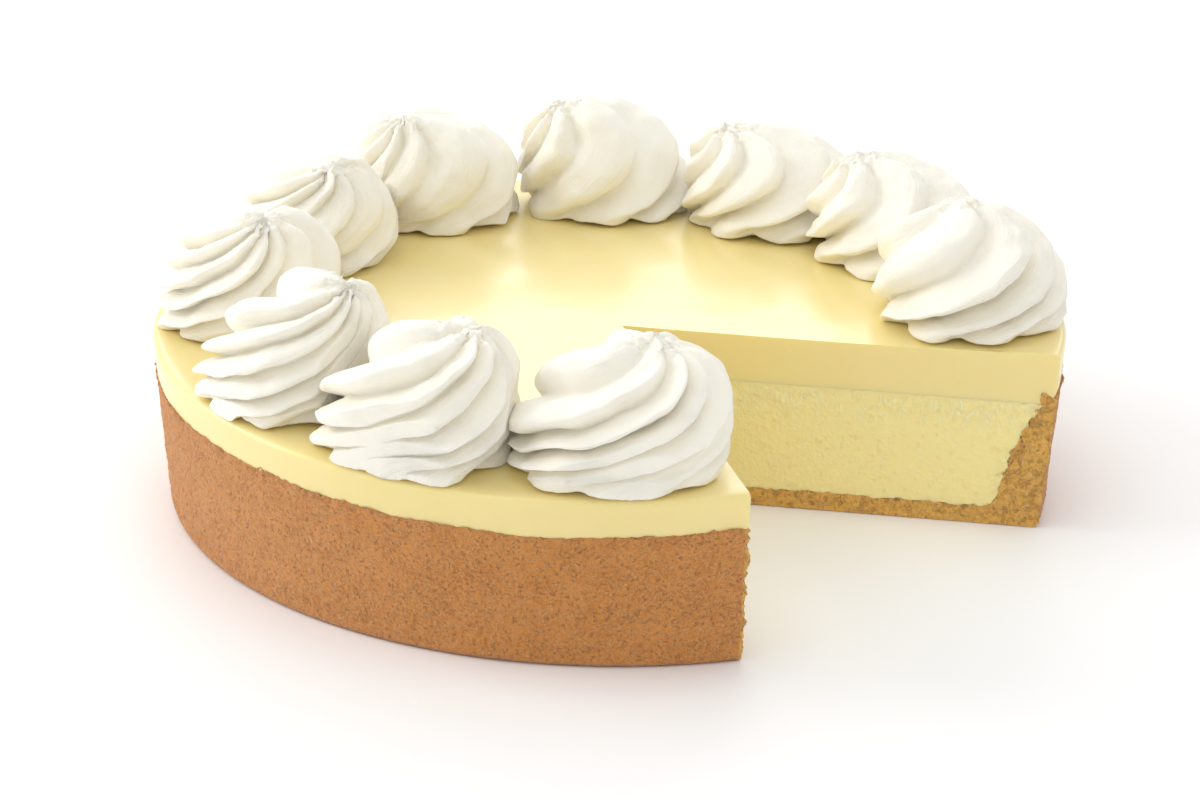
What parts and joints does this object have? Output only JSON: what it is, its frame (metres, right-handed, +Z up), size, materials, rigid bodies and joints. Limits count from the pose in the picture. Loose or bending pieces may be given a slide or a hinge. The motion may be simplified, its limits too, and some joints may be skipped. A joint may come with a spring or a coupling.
{
  "type": "key lime cheesecake",
  "caption": "Round key lime cheesecake in a crumb crust, smooth lime layer on top, ringed with piped cream rosettes, with a wedge cut out.",
  "frame": {"origin": "on the table under the centre of the round cake, at the middle of its box and at its lowest face", "axes": "+Z up; +X and -Y bound the quarter that the wedge is cut from, with the wedge's point near the axis"},
  "size_m": [0.254, 0.254, 0.0839],
  "materials": {
    "crumb_crust": "dry fine crumb, golden brown with darker specks",
    "baked_filling": "soft matte, pale yellow, slightly grainy where cut",
    "lime_layer": "smooth and moist, pale yellow with a soft gloss",
    "whipped_cream": "smooth satin, ivory white"
  },
  "bodies": {
    "root": {"crust": "crumb_crust", "cheesecake_filling": "baked_filling", "lime_layer": "lime_layer", "cream_rosette_01": "whipped_cream", "cream_rosette_02": "whipped_cream", "cream_rosette_03": "whipped_cream", "cream_rosette_04": "whipped_cream", "cream_rosette_05": "whipped_cream", "cream_rosette_06": "whipped_cream", "cream_rosette_07": "whipped_cream", "cream_rosette_08": "whipped_cream", "cream_rosette_09": "whipped_cream", "cream_rosette_10": "whipped_cream"}
  },
  "joints": []
}
